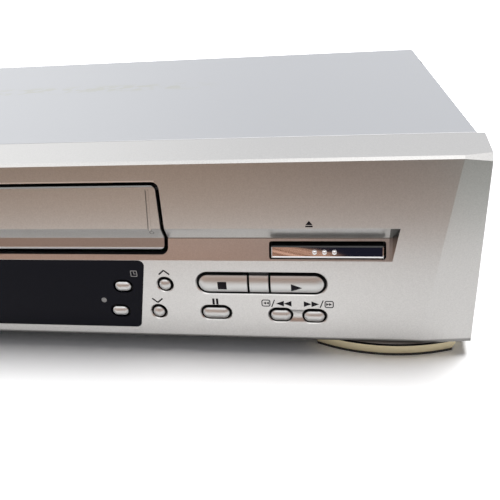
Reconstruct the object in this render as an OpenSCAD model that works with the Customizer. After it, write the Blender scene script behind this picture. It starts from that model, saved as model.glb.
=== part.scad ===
// Video cassette recorder: silver front-loading deck, right and left halves of the front mirrored.
// X runs to the right of the front, Y runs back, Z runs up from the floor, in millimetres.
// The origin is the middle of the footprint, and the modules measure Y from the front face.

/* [Case] */
// Width across the rear edge of the front moulding
panel_w = 430; // [424:1:440]
// Width across the front face of the moulding
panel_front_w = 424; // [420:1:424]
// Width of the steel cover
cover_w = 426; // [424:1:428]
// Height from the floor to the top of the cover
case_h = 88; // [87:0.5:92]
// Depth from the front face to the rear of the cover
case_d = 265; // [262:1:290]
// Depth of the front moulding, back to the seam of the cover
panel_d = 29.5; // [28:0.5:31]
// Height of the steel floor above the ground
base_z = 8; // [7.6:0.1:8.4]
// Thickness of the sheet steel
sheet = 1; // [0.6:0.1:1.2]
// Wall of the front moulding
wall = 2.5; // [2:0.1:3]
// Outer bend radius of the cover's top edges
bend_r = 2; // [1.4:0.2:3]
// Vent slots in each side of the cover
vent_count = 12; // [4:1:14]
// Width of a vent slot
vent_w = 2.4; // [1.6:0.2:3]
// Height of a vent slot
vent_h = 24; // [12:1:28]

/* [Front face] */
// Fall of the top face towards the front
top_fall = 0.3; // [0:0.1:0.8]
// Bevel along the upper front edge
top_edge = 1.1; // [0.8:0.1:1.4]
// Lowest edge of the front moulding
panel_z = 6.6; // [6.5:0.1:7.2]
// Height of the rounded edge under the front face
lower_bevel = 1.7; // [1:0.1:2]
// Thickness of the lip over each large foot
lip_t = 0.5; // [0.4:0.1:0.6]
// Upper edge of the long wedge groove
groove_top = 59.4; // [58.5:0.1:60]
// Height of the deepest line of the groove
groove_line = 53.7; // [53:0.1:54.5]
// Height where the groove runs out
groove_low = 45; // [44.5:0.1:45.4]
// Depth of the groove
groove_depth = 3.5; // [2:0.1:4]
// Half length of the groove at its lower edge
groove_half = 178.4; // [177.6:0.1:180]
// Half width of the front face at the top, inside the corner facets
facet_top_x = 202.2; // [200:0.1:204]
// Half width of the front face at the bottom, inside the corner facets
facet_low_x = 191; // [189:0.1:195]
// Angle by which a corner facet turns back
facet_turn = 7; // [4:0.5:8]

/* [Cassette door] */
// Centre of the cassette deck across the case
deck_x = -17; // [-19:0.5:-15]
// Width of the cassette door
door_w = 205; // [203:0.5:206]
// Lower edge of the door
door_z = 49; // [48.8:0.1:50]
// Upper edge of the door
door_top = 78; // [77:0.1:78.2]
// Thickness of the door
door_t = 2.2; // [1.8:0.1:2.4]
// Gap beside and above the door
door_gap = 1.6; // [1:0.1:1.8]
// Lower edge of the cassette slot
slot_z = 47.2; // [47:0.1:47.6]
// Radius of the door's hinge pins
hinge_r = 0.8; // [0.6:0.1:1]
// Running clearance of a shaft in its bore, on the radius
run_gap = 0.05; // [0.03:0.01:0.08]

/* [Display] */
// Top of the display window
window_top = 44.9; // [44.4:0.1:45]
// Bottom of the display window
window_z = 11.5; // [11:0.1:13]
// Half width of the window along its top
window_half_top = 93.1; // [91:0.1:94]
// Half width of the window along its bottom
window_half_low = 88; // [86:0.1:89]
// Thickness of the window
window_t = 2; // [1.5:0.1:2.4]

/* [Buttons] */
// How far the middle of a cap stands out of its surface
cap_proud = 1.2; // [0.9:0.1:1.6]
// Rise of a cap's domed face
cap_dome = 1; // [0.6:0.1:1.2]
// Gap round a cap
cap_gap = 1; // [0.8:0.05:1.1]
// Bevel round a button's hole
rim = 0.4; // [0.2:0.1:0.6]
// Travel of a small button
cap_travel = 0.8; // [0.5:0.1:0.9]
// Width of the hole of a fast winding button
wind_w = 10.4; // [9.6:0.1:10.8]
// Height of the hole of a fast winding button
wind_h = 6.8; // [6.4:0.1:7]
// Width of the pause button's hole
pause_w = 13.4; // [12:0.1:14]
// Height of the pause button's hole
pause_h = 7; // [6.6:0.1:7.2]
// Diameter of the round buttons' holes
round_d = 6.9; // [6.6:0.1:7.2]
// Width of the holes in the display window
small_w = 9; // [8.6:0.1:9.4]
// Height of the holes in the display window
small_h = 6.3; // [6:0.1:6.6]
// Length of the stop and play group
group_w = 54.8; // [54:0.1:55.4]
// Height of the stop and play group
group_h = 10.2; // [9.8:0.1:10.4]
// Width of the fixed piece between stop and play
group_trim_w = 7.9; // [7.4:0.1:8.4]
// Width of the eject and power bars
bar_w = 44.6; // [42:0.1:46]
// Height of the eject and power bars
bar_h = 4.7; // [4.4:0.1:4.8]

/* [Feet] */
// Radius of the curved front of a large foot
foot_r = 68; // [60:1:72]
// Width of a large foot
foot_w = 57; // [50:0.5:58]
// Depth of a large foot
foot_d = 30; // [24:1:34]
// Height of a large foot's rim
foot_h = 6.1; // [5.8:0.1:6.2]
// Flare of a large foot's rim, from bottom to top
foot_flare = 2; // [1:0.5:3]
// Thickness of the rubber under a foot
pad_t = 1; // [0.6:0.1:1.5]
// Centre of the front feet to each side
foot_x = 179.4; // [176:0.2:181]
// Diameter of the rear feet
rear_foot_d = 22; // [16:1:26]

/* [Cassette deck] */
// Underside of the deck plate
deck_z = 22; // [21.8:0.1:22.4]
// Thickness of the deck plate
deck_t = 1.5; // [1.2:0.1:1.6]
// Depth of the deck plate
deck_d = 195; // [190:1:200]
// Half spacing of the carriage side plates
side_half = 104; // [103.6:0.1:105]
// Travel of the cassette holder into the deck
carriage_travel = 60; // [50:1:62]
// Drop of the cassette holder onto the reels
holder_drop = 19.5; // [17:0.5:20]
// Clear height for a cassette in the holder
holder_h = 26; // [25.6:0.1:26.1]
// Depth of the cassette holder
holder_d = 53; // [48:1:54]
// Pitch radius of the carriage pinion
pinion_r = 8; // [8:1:8]
// Teeth of the carriage pinion
pinion_teeth = 16; // [16:1:16]
// Half distance between the reel spindles
reel_half = 46; // [45:0.5:47]
// Radius of a reel table
reel_r = 18; // [16:0.5:19]
// Distance of the reel spindles from the front face
reel_y = 87; // [85:1:88]
// Diameter of the head drum
drum_d = 62; // [60:0.5:63]
// Distance of the drum's axis from the front face
drum_y = 183; // [182:1:186]
// Tilt of the drum
drum_tilt = 5.9; // [4:0.1:6]
// Pitch radius of the loading arm gears
arm_gear_r = 15.3; // [15.3:0.1:15.3]
// Distance from a loading arm's pivot to its post
arm_r = 37.2; // [36.5:0.1:38]
// Swing of the loading arms
arm_swing = 115; // [100:1:117]
// Radius of the capstan shaft
capstan_r = 1.75; // [1.5:0.05:2]
// Radius of the capstan flywheel
flywheel_r = 22; // [18:1:23]
// Radius of the pinch roller
pinch_roller_r = 8; // [7:0.5:8]

/* [Hidden] */
$fn = 48;
eps = 0.01;
air = 0.3;
board_y = 14;
board_t = 1.6;
rear_proud = 8;
board_post_r = 3;
board_z0 = 13;
board_z = board_z0 + board_t;
board_bolts = [[-113, 14], [92, 13], [190, 14], [-185, 14]];
pan_half = cover_w / 2 - sheet - air;
deck_edge = 98;
right_room = pan_half - deck_edge;
power_x = 4.7 - pan_half;
main_bolts = [for (x = [deck_edge + 6, pan_half - 10.7], y = [44, 200]) [x, y]];
power_bolts = [for (x = [power_x + 7, -138], y = [44, 200]) [x, y]];
front_y = -(case_d + rear_proud - foot_flare) / 2;

floor_top = base_z + sheet;
deck_top = deck_z + deck_t;
cover_y = panel_d + air;
groove_slope = groove_depth / (groove_line - groove_low);
door_x0 = deck_x - door_w / 2;
door_x1 = deck_x + door_w / 2;
hinge_y = 2.2;
hinge_z = door_top - 1.7;
groove_end_lean = 10;
groove_end_turn = 22;
switch_h = 3;
bar_x = 152.7;
bar_z = 46.5;
bar_proud = 1.4;
bar_bevel = 0.45;
bar_dot = 1.05;
bar_dot_z = 48.75;
bar_dot_gap = 3.93;
bar_travel = 1.5;
bar_stem_z = 41;
bar_slot = [1, 0.8, 1.3];
bar_flange = 7.3;
bar_back = bar_flange + 1.1;

cap_flange_y = wall + air;
stem_end = board_y - switch_h - cap_travel - air;
group_x = 125.3;
group_z = 34.3;
group_gap = 1.25;
trim_x = 124.7;
scoop_r = 6;
scoop_deep = 0.8;
pause_at = [105.3, 19.8];
rewind_at = [133.3, 19.1];
forward_at = [147.4, 18.8];
up_at = [84.2, 33.4];
down_at = [79.8, 19.8];
timer_at = [65.3, 32.3];
record_at = [62.2, 19.9];
jack_at = [[-172, 24], [-157, 24], [-142, 24]];
jack_r = 4.1;
jack_gap = 0.45;

holder_z = slot_z + 0.5;
holder_y = 31;
holder_half = 97;
sheet_in = 1;
slider_half = 98;
rack_pitch_z = 41;
pinion_y = 98;
tooth_m = 1;
pin_r = 1.5;
holder_top = holder_z + holder_h + 2 * sheet_in;
slider_top = holder_top + 1.6;
guide_z = slider_top - 3.4;
drop_pin_z = guide_z - 6.9;
side_top = guide_z + 3.4;
pin_ys = [38, 78];

drum_r = drum_d / 2;
drum_z = 44;
pivot_y = 164.2;
pivot_r = 2;
gear_t = 3;
arm_z = 17.5;
arm_m = 0.9;
arm_teeth = 34;
post_rest = -113.3;
mode_r = 19.8;
mode_teeth = 44;
mode_turn = 100;
capstan_at = [45, 154];
clutch_at = [deck_x, 112];
clutch_r = 14;
wheel_z = 12;
wheel_t = 3.5;
belt_t = 1;
pinch_pivot = [67, 176];
pinch_rest = [60.5, 155.6];
tension_pivot = [-98, 150];
tension_post = [-80, 141];
idler_pivot = [deck_x, 52];
idler_r = 8;
spindle_h = 16;
shaft_r = 1.5;
foot_rear_y = 240;

// Placement and drawing helpers
module from_front() translate([0, front_y, 0]) children();
module along_x(x0, x1) translate([x0, 0, 0]) rotate([90, 0, 90]) linear_extrude(x1 - x0) children();
module along_y(y0, y1) translate([0, y1, 0]) rotate([90, 0, 0]) linear_extrude(y1 - y0) children();
module along_z(z0, z1) translate([0, 0, z0]) linear_extrude(z1 - z0) children();
module box(x0, x1, y0, y1, z0, z1) translate([x0, y0, z0]) cube([x1 - x0, y1 - y0, z1 - z0]);
module rod_z(at, r, z0, z1) translate([at[0], at[1], z0]) cylinder(r=r, h=z1 - z0);
module rod_y(at, r, y0, y1) translate([at[0], y1, at[1]]) rotate([90, 0, 0]) cylinder(r=r, h=y1 - y0);
module rod_x(at, r, x0, x1) translate([x0, at[0], at[1]]) rotate([0, 90, 0]) cylinder(r=r, h=x1 - x0);
module both_sides() {
    children();
    mirror([1, 0, 0]) children();
}
module about_deck() {
    children();
    translate([2 * deck_x, 0, 0]) mirror([1, 0, 0]) children();
}

// Points of an arc, and of a rectangle with rounded corners
function arc(c, r, a0, a1, n=6) = [for (i = [0:n]) let (a = a0 + (a1 - a0) * i / n) c + r * [cos(a),
    sin(a)]];
function round_box(x0, x1, y0, y1, r) = concat(
    arc([x1 - r, y1 - r], r, 0, 90), arc([x0 + r, y1 - r], r, 90, 180),
    arc([x0 + r, y0 + r], r, 180, 270), arc([x1 - r, y0 + r], r, 270, 360));

// Outline of a spur gear with straight flanks and room between the teeth
function gear_points(m, n, gap=0.12) = [for (i = [0:n - 1], k = [0:3])
    let (r = m * n / 2, root = r - 1.2 * m, tip = r + 0.85 * m, step = 360 / n,
        half_root = step * 0.36, half_tip = step * (0.16 - gap / 4),
        a = i * step + [-half_root, -half_tip, half_tip, half_root][k])
    (k == 0 || k == 3 ? root : tip) * [cos(a), sin(a)]];
module gear(m, n, h, bore) difference() {
    linear_extrude(h) polygon(gear_points(m, n));
    translate([0, 0, -1]) cylinder(r=bore, h=h + 2);
}
module capsule(at, w, h) translate(at) {
    if (w > h) square([w - h, h], center=true);
    for (s = w > h ? [-1, 1] : [0]) translate([s * (w - h) / 2, 0]) circle(d=h);
}
// A capsule's countersunk edge, and its domed outer face, both opening along Y
module rim_bevel(at, w, h) {
    reach = (w - h) / 2;
    for (s = w > h ? [-1, 1] : [0]) translate([at[0] + s * reach, -rim, at[1]]) rotate([-90, 0, 0])
        cylinder(r1=h / 2 + 2 * rim, r2=h / 2, h=2 * rim);
    if (w > h) along_x(at[0] - reach, at[0] + reach) polygon([[-rim, at[1] - h / 2 - 2 * rim],
        [-rim, at[1] + h / 2 + 2 * rim], [rim, at[1] + h / 2], [rim, at[1] - h / 2]]);
}
module domed(at, w, h, y1) intersection() {
    r = (h * h / 4 + cap_dome * cap_dome) / (2 * cap_dome);
    reach = (w - h) / 2;
    along_y(-cap_proud - 1, y1) capsule(at, w, h);
    union() {
        for (s = w > h ? [-1, 1] : [0]) translate([at[0] + s * reach, r - cap_proud, at[1]]) sphere(r=r,
            $fn=64);
        if (w > h) rod_x([r - cap_proud, at[1]], r, at[0] - reach, at[0] + reach);
    }
}
module link(a, b, r, z0, z1) along_z(z0, z1) {
    for (p = [a, b]) translate(p) circle(r=r);
    translate(a) rotate(atan2(b[1] - a[1], b[0] - a[0])) translate([0, -r]) square([norm(b - a), 2 * r]);
}

// Front moulding
panel_side = [[panel_d, panel_z], [panel_d, case_h], [top_edge, case_h - top_fall], [0,
    case_h - top_fall - top_edge],
    [0, panel_z + lower_bevel], [lower_bevel * 0.1, panel_z + lower_bevel * 0.45], [lower_bevel * 0.4,
        panel_z]];
panel_plan = [[-panel_front_w / 2, 0], [panel_front_w / 2, 0], [panel_w / 2, panel_d], [-panel_w / 2,
    panel_d]];
cavity_side = [[wall, panel_z + wall], [panel_d + 1, panel_z + wall], [panel_d + 1, case_h - wall],
    [wall, case_h - top_fall - wall], [wall, groove_top + wall], [groove_depth + wall, groove_line + wall],
    [groove_depth + wall, groove_line - wall], [wall, groove_low - wall]];
cavity_plan = [[facet_low_x - 4, 0], [panel_front_w / 2 - wall, wall + 4], [panel_w / 2 - wall,
    panel_d + 1],
    [-panel_w / 2 + wall, panel_d + 1], [-panel_front_w / 2 + wall, wall + 4], [4 - facet_low_x, 0]];

module groove() difference() {
    along_x(-groove_half - 5, groove_half + 5) polygon([[-1, groove_low], [-1, groove_top], [0, groove_top],
        [groove_depth, groove_line], [0, groove_low]]);
    both_sides() translate([groove_half, 0, groove_low]) rotate([0, groove_end_lean, 0])
        rotate([0, 0, groove_end_turn]) translate([0, -10, -10]) cube([20, 30, 40]);
}
function slope_y(z) = groove_slope * (z - groove_low);
module facet() {
    lean = atan2(facet_top_x - facet_low_x, case_h - panel_z);
    edge_z = (case_h - top_fall - panel_z) / cos(lean);
    translate([facet_low_x, 0, panel_z]) rotate([0, lean, 0]) rotate([0, 0, facet_turn]) {
        translate([0, -20, -20]) cube([60, 20, case_h + 40]);
        translate([-5, -2, edge_z - top_edge - 2]) rotate([45, 0, 0]) cube([65, 8, 5]);
    }
}
module face_hole(y0, y1, at, w, h) along_y(y0, y1) capsule(at, w, h);
module window_outline(inset=0) {
    half_top = window_half_top - inset;
    half_low = window_half_low - inset;
    r = 2.5;
    low = window_z + inset;
    top = window_top - inset;
    polygon([for (p = concat(arc([half_top - r, top - r], r, 0, 90), arc([r - half_top, top - r], r, 90,
        180),
        arc([r - half_low, low + r], r, 180, 270), arc([half_low - r, low + r], r, 270, 360)))
        p + [deck_x, 0]]);
}
module door_outline(gap_side, gap_top, low, r)
    polygon(round_box(door_x0 - gap_side, door_x1 + gap_side, low, door_top + gap_top, r));
module front_panel() color("silver") from_front() difference() {
    union() {
        difference() {
            intersection() {
                along_x(-panel_w / 2, panel_w / 2) polygon(panel_side);
                along_z(panel_z, case_h) polygon(panel_plan);
                along_y(0, panel_d) polygon(round_box(-panel_w / 2, panel_w / 2, panel_z, case_h + 3, 3));
            }
            intersection() {
                along_x(-panel_w / 2, panel_w / 2) polygon(cavity_side);
                along_z(panel_z, case_h) polygon(cavity_plan);
            }
            groove();
            both_sides() facet();
        }
        about_deck() box(door_x1 + door_gap, door_x1 + door_gap + 5, wall - eps, 6, hinge_z - 4,
            hinge_z + 4);
        for (at = board_bolts) rod_y(at, board_post_r, wall - eps, board_y);
        both_sides() foot_lip();
    }
    along_y(-1, 12) door_outline(door_gap, door_gap, slot_z, 3);
    along_y(-1, wall + 1) window_outline();
    about_deck() rod_x([hinge_y, hinge_z], hinge_r + run_gap, door_x1, door_x1 + door_gap + 3);
    for (hole = [[[group_x, group_z], group_w, group_h], [pause_at, pause_w, pause_h], [rewind_at,
        wind_w, wind_h],
        [forward_at, wind_w, wind_h], [up_at, round_d, round_d], [down_at, round_d, round_d]]) {
        face_hole(-1, wall + 1, hole[0], hole[1], hole[2]);
        rim_bevel(hole[0], hole[1], hole[2]);
    }
    rod_x([scoop_deep - scoop_r, (rewind_at[1] + forward_at[1]) / 2], scoop_r, rewind_at[0] + 3,
        forward_at[0] - 3);
    both_sides() along_y(-1, groove_depth + wall + 1) polygon(round_box(bar_x - bar_w / 2 - bar_slot[0],
        bar_x + bar_w / 2 + bar_slot[0], bar_z - bar_slot[1], bar_z + bar_h + bar_slot[2], 1));
    for (at = jack_at) rod_y(at, jack_r + jack_gap, -1, wall + 1);
}

// Sheet-steel case
function vent_y(i) = 140 + i * 7;
module cover_outline(inset) polygon(concat(
    arc([cover_w / 2 - bend_r, case_h - bend_r], bend_r - inset, 0, 90),
    arc([bend_r - cover_w / 2, case_h - bend_r], bend_r - inset, 90, 180),
    [[inset - cover_w / 2, base_z + 0.5 - inset * 2], [cover_w / 2 - inset, base_z + 0.5 - inset * 2]]));
module side_screw_holes(r) for (y = [70, 220]) rod_x([y, 17], r, cover_w / 2 - 4, cover_w / 2 + 2);
module top_cover() color("gainsboro") from_front() difference() {
    along_y(cover_y, case_d) difference() {
        cover_outline(0);
        cover_outline(sheet);
    }
    both_sides() side_screw_holes(1.6 + run_gap);
    both_sides() for (i = [0:vent_count - 1])
        box(cover_w / 2 - sheet - 1, cover_w / 2 + 1, vent_y(i), vent_y(i) + vent_w, 34, 34 + vent_h);
}
pan_tongue = pan_half - 11.7;
vent_mid = pan_half - 46.7;
module deck_posts() for (x = [-1, 1], y = [40, deck_d + 20]) rod_z([deck_x + x * (side_half + 1), y], 4,
    0, 40);
module bottom_pan() color("lightgray") from_front() difference() {
    union() {
        along_y(panel_d + air, case_d - sheet - air) polygon([[-pan_half, 24], [-pan_half, base_z],
            [pan_half, base_z],
            [pan_half, 24], [pan_half - sheet, 24], [pan_half - sheet, floor_top], [sheet - pan_half,
                floor_top],
            [sheet - pan_half, 24]]);
        tongue_z = panel_z + wall + air;
        box(-pan_tongue, pan_tongue, board_y + board_t + 3, cover_y + sheet, tongue_z, tongue_z + sheet);
        box(-pan_tongue, pan_tongue, cover_y, cover_y + sheet, base_z, tongue_z + sheet);
        for (at = concat(main_bolts, power_bolts)) rod_z(at, board_post_r, floor_top - eps, board_z0);
        intersection() {
            deck_posts();
            box(-pan_half, pan_half, 0, case_d, base_z, deck_z);
        }
    }
    both_sides() side_screw_holes(1.6 + run_gap);
    for (i = [0:9], s = [-1, 1]) box(s * vent_mid - 18, s * vent_mid + 18, 120 + i * 9, 123 + i * 9,
        base_z - 1, floor_top + 1);
}
scart_x = deck_edge + right_room * 0.264;
scart_zs = [24, 46];
scart_w = 42;
scart_h = 11;
rear_jack_x = deck_edge + right_room * 0.6157;
rear_jack_at = [for (z = [26, 42]) [rear_jack_x, z]];
rf_x = deck_edge + right_room * 0.8267;
rear_screw_x = pan_half - 6.7;
rf_zs = [30, 48];
inlet_at = [-172, 34];
inlet_w = 23;
inlet_h = 15;
module scart_outline(g=0) for (z = scart_zs) translate([scart_x, z]) polygon([
    [-scart_w / 2 - g, scart_h / 2 + g], [scart_w / 2 + g, scart_h / 2 + g], [scart_w / 2 + g,
        2 - scart_h / 2],
    [scart_w / 2 - 4, -scart_h / 2 - g], [-scart_w / 2 - g, -scart_h / 2 - g]]);
module rear_panel() color("silver") from_front() difference() {
    along_y(case_d - sheet, case_d) polygon([[-pan_half, base_z + 1], [pan_half, base_z + 1], [pan_half,
        case_h - sheet - air],
        [-pan_half, case_h - sheet - air]]);
    along_y(case_d - 2, case_d + 1) scart_outline(1.5 + air);
    for (at = rear_jack_at) rod_y(at, 5 + air, case_d - 2, case_d + 1);
    for (z = rf_zs) rod_y([rf_x, z], 6 + air, case_d - 2, case_d + 1);
    along_y(case_d - 2, case_d + 1) polygon(round_box(inlet_at[0] - inlet_w / 2 - air,
        inlet_at[0] + inlet_w / 2 + air,
        inlet_at[1] - inlet_h / 2 - air, inlet_at[1] + inlet_h / 2 + air, 2));
    for (x = [-rear_screw_x, 0, rear_screw_x]) rod_y([x, 76], 1.6 + run_gap, case_d - 2, case_d + 1);
}
module screw(head_r=3.4, head_h=1.8) {
    difference() {
        cylinder(r=head_r, h=head_h);
        translate([0, 0, head_h]) for (a = [0, 90]) rotate(a) cube([3.6, 0.8, 1.6], center=true);
    }
    translate([0, 0, -3.5]) cylinder(r=1.6, h=3.6);
}
module case_screws() color("dimgray") from_front() {
    both_sides() for (y = [70, 220]) translate([cover_w / 2, y, 17]) rotate([0, 90, 0]) screw(head_h=1.2);
    for (x = [-rear_screw_x, 0, rear_screw_x]) translate([x, case_d, 76]) rotate([-90, 0, 0]) screw();
}

// Feet
foot_lean = 0.25;
foot_off = -2.4;
module foot_cone(r1, r2, z0, z1) translate([foot_x, foot_r, z0]) cylinder(r1=r1, r2=r2, h=z1 - z0, $fn=96);
module foot_block(z0, z1) along_y(-foot_flare - 1, foot_d) polygon([for (p = [[-1, z0], [1, z0], [1, z1],
    [-1, z1]]) [foot_x + foot_off + p[0] * (foot_w / 2 + foot_lean * p[1]), p[1]]]);
module large_foot() difference() {
    intersection() {
        foot_cone(foot_r, foot_r + foot_flare, pad_t, foot_h);
        foot_block(pad_t, foot_h);
    }
    intersection() {
        foot_cone(foot_r + foot_flare - 1.2, foot_r + foot_flare - 1.2, foot_h - 0.6, foot_h + 1);
        box(foot_x + foot_off - foot_w / 2, foot_x + foot_off + foot_w / 2, -foot_flare, foot_d + 1, 0, 9);
    }
}
module foot_lip() intersection() {
    foot_cone(foot_r + foot_flare - lip_t, foot_r + foot_flare, panel_z, panel_z + lip_t);
    box(foot_x - foot_w / 2, foot_x + foot_w / 2, -foot_flare - 1, wall, 0, 9);
}
module front_feet() color("wheat") from_front() both_sides() {
    large_foot();
    rod_z([foot_x, 17], 9, foot_h - 0.7, panel_z);
}
module rear_feet() color("dimgray") from_front() both_sides()
    translate([foot_x, foot_rear_y, pad_t]) cylinder(d1=rear_foot_d - 2, d2=rear_foot_d, h=base_z - pad_t);
module foot_pads() color("black") from_front() both_sides() {
    intersection() {
        foot_cone(foot_r + 0.3, foot_r + 0.3, 0, pad_t);
        foot_block(0, pad_t);
    }
    translate([foot_x, foot_rear_y, 0]) cylinder(d=rear_foot_d - 4, h=pad_t);
}

// Cassette door, hinged on two end pins near its upper edge
door_side = [[0, door_top - 0.5], [0.5, door_top], [door_t + 1, door_top], [door_t, door_top - 4],
    [door_t, groove_top + 1],
    [groove_depth + door_t, groove_line + 1.5], [groove_depth + door_t - 0.5, door_z],
    [groove_slope * (door_z - groove_low) + 0.8, door_z], [groove_slope * (door_z - groove_low) + 0.4,
        door_z + 1.1],
    [groove_depth, groove_line], [0, groove_top]];
module cassette_door() color("silver") from_front() {
    difference() {
        intersection() {
            along_x(door_x0, door_x1) polygon(door_side);
            along_y(-1, 10) door_outline(0, 0, door_z, 2);
        }
        translate([door_x1 - 3.5, 0, 76]) rotate([0, 3.8, 0]) translate([-0.65, -1, -18.2]) cube([1.3,
            1.5, 18.2]);
    }
    about_deck() {
        rod_x([hinge_y, hinge_z], hinge_r, door_x1 - 3, door_x1 + door_gap + 2.6);
        along_x(door_x1 - 4, door_x1) polygon(concat([[door_t - 0.5, hinge_z - 3]], arc([hinge_y + 1,
            hinge_z], 1.6, -60, 90),
            [[door_t - 0.5, hinge_z + 1.6]]));
    }
}

// Display
module display_window() color("black") from_front() difference() {
    along_y(0, window_t) window_outline(0.15);
    for (at = [timer_at, record_at]) face_hole(-1, window_t + 1, at, small_w, small_h);
}
module display_module() color("darkslategray") from_front() {
    box(deck_x - 62, deck_x + 58, 5, 9, 15, 42);
    box(deck_x - 64, deck_x + 60, 9, board_y, 13.5, 43.5);
}
module front_board() color("darkgreen") from_front() difference() {
    box(-190, 196, board_y, board_y + board_t, 10.9, 44);
    for (at = board_bolts) rod_y(at, 1.6, board_y - 1, board_y + 3);
}

// Buttons: a domed cap in the hole, a rim behind the wall and a stem to a switch on the front board
module button(at, w, h, back=wall) {
    domed(at, w - 2 * cap_gap, h - 2 * cap_gap, back + air + 0.4);
    along_y(back + air, back + air + 1) capsule(at, w + 1.4, h + 0.9);
    rod_y(at, 1.5, back + air, stem_end);
}
module half_plane(side, y0, y1) box(side > 0 ? trim_x + group_trim_w / 2 + cap_gap : group_x - group_w,
    side > 0 ? group_x + group_w : trim_x - group_trim_w / 2 - cap_gap, y0, y1, group_z - 10, group_z + 10);
module transport_button(side) {
    intersection() {
        domed([group_x, group_z], group_w - 2 * group_gap, group_h - 2 * group_gap, wall + air + 0.4);
        half_plane(side, -5, 20);
    }
    intersection() {
        along_y(wall + air, wall + air + 1) capsule([group_x, group_z], group_w + 1.4, group_h + 1.4);
        half_plane(side, -5, 20);
    }
    rod_y([group_x + side * 15, group_z], 1.5, wall + air, stem_end);
}
module stop_button() color("silver") from_front() transport_button(-1);
module play_button() color("silver") from_front() transport_button(1);
module transport_trim() color("silver") from_front() {
    half = group_trim_w / 2;
    intersection() {
        domed([group_x, group_z], group_w - 2 * group_gap, group_h - 2 * group_gap, wall);
        box(trim_x - half, trim_x + half, -5, wall, group_z - 10, group_z + 10);
    }
    box(trim_x - half, trim_x + half, rim, wall, group_z - group_h / 2 + eps, group_z + group_h / 2 - eps);
    box(trim_x - half, trim_x + half, wall, wall + 1.2, group_z - 7, group_z + 7);
}
module pause_button() color("silver") from_front() button(pause_at, pause_w, pause_h);
module rewind_button() color("silver") from_front() button(rewind_at, wind_w, wind_h);
module fast_forward_button() color("silver") from_front() button(forward_at, wind_w, wind_h);
module channel_up_button() color("silver") from_front() button(up_at, round_d, round_d);
module channel_down_button() color("silver") from_front() button(down_at, round_d, round_d);
module timer_button() color("silver") from_front() button(timer_at, small_w, small_h, window_t);
module record_button() color("silver") from_front() button(record_at, small_w, small_h, window_t);

// Bar buttons: a bar in the groove with a bevelled face parallel to its slope, and three raised dots
function bar_y(z) = slope_y(z) - bar_proud;
bar_z1 = bar_z + bar_h;
bar_side = [[bar_back, bar_z], [bar_y(bar_z + bar_bevel) + bar_bevel, bar_z], [bar_y(bar_z + bar_bevel),
    bar_z + bar_bevel],
    [bar_y(bar_z1 - bar_bevel), bar_z1 - bar_bevel], [bar_y(bar_z1 - bar_bevel) + bar_bevel, bar_z1],
        [bar_back, bar_z1]];
bar_plan = let (half = bar_w / 2) [[bevel_x(half), 0], [half, bar_bevel], [half, 20], [-half, 20],
    [-half, bar_bevel],
    [-bevel_x(half), 0]];
function bevel_x(half) = half - bar_bevel;
module bar_button() {
    intersection() {
        along_x(bar_x - bar_w / 2, bar_x + bar_w / 2) polygon(bar_side);
        translate([bar_x, bar_y(bar_z), bar_z]) rotate([-atan(groove_slope), 0, 0]) along_z(-10,
            20) polygon(bar_plan);
    }
    for (i = [-1:1]) translate([bar_x - 0.9 + bar_dot_gap * i, bar_y(bar_dot_z) + bar_dot / 3, bar_dot_z])
        sphere(r=bar_dot, $fn=32);
    box(bar_x - bar_w / 2 - 2.4, bar_x + bar_w / 2 + 2.4, bar_flange, bar_back, bar_z, bar_z1);
    rod_y([bar_x, bar_stem_z], 1.2, bar_back - eps, board_y - switch_h - bar_travel - air);
    box(bar_x - 2, bar_x + 2, bar_flange, bar_back, bar_stem_z - 2, bar_z + 1);
}
module eject_button() color("silver") from_front() bar_button();
module power_button() color("silver") from_front() mirror([1, 0, 0]) bar_button();
switch_ats = [pause_at, rewind_at, forward_at, up_at, down_at, timer_at, record_at, [group_x - 15, group_z],
    [group_x + 15, group_z]];
module tact_switch(at) {
    box(at[0] - 3, at[0] + 3, board_y - 2.2, board_y, at[1] - 3, at[1] + 3);
    rod_y(at, 1.2, board_y - switch_h, board_y - 2);
}
module tact_switches() color("black") from_front() {
    for (at = switch_ats) tact_switch(at);
    both_sides() tact_switch([bar_x, bar_stem_z]);
}
module front_av_jacks() color("gold") from_front() for (at = jack_at) difference() {
    union() {
        rod_y(at, jack_r, -0.4, wall + 4);
        box(at[0] - 5.5, at[0] + 5.5, wall + air, board_y, at[1] - 5.5, at[1] + 5.5);
    }
    rod_y(at, 1.65, -2, 9);
}

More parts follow.
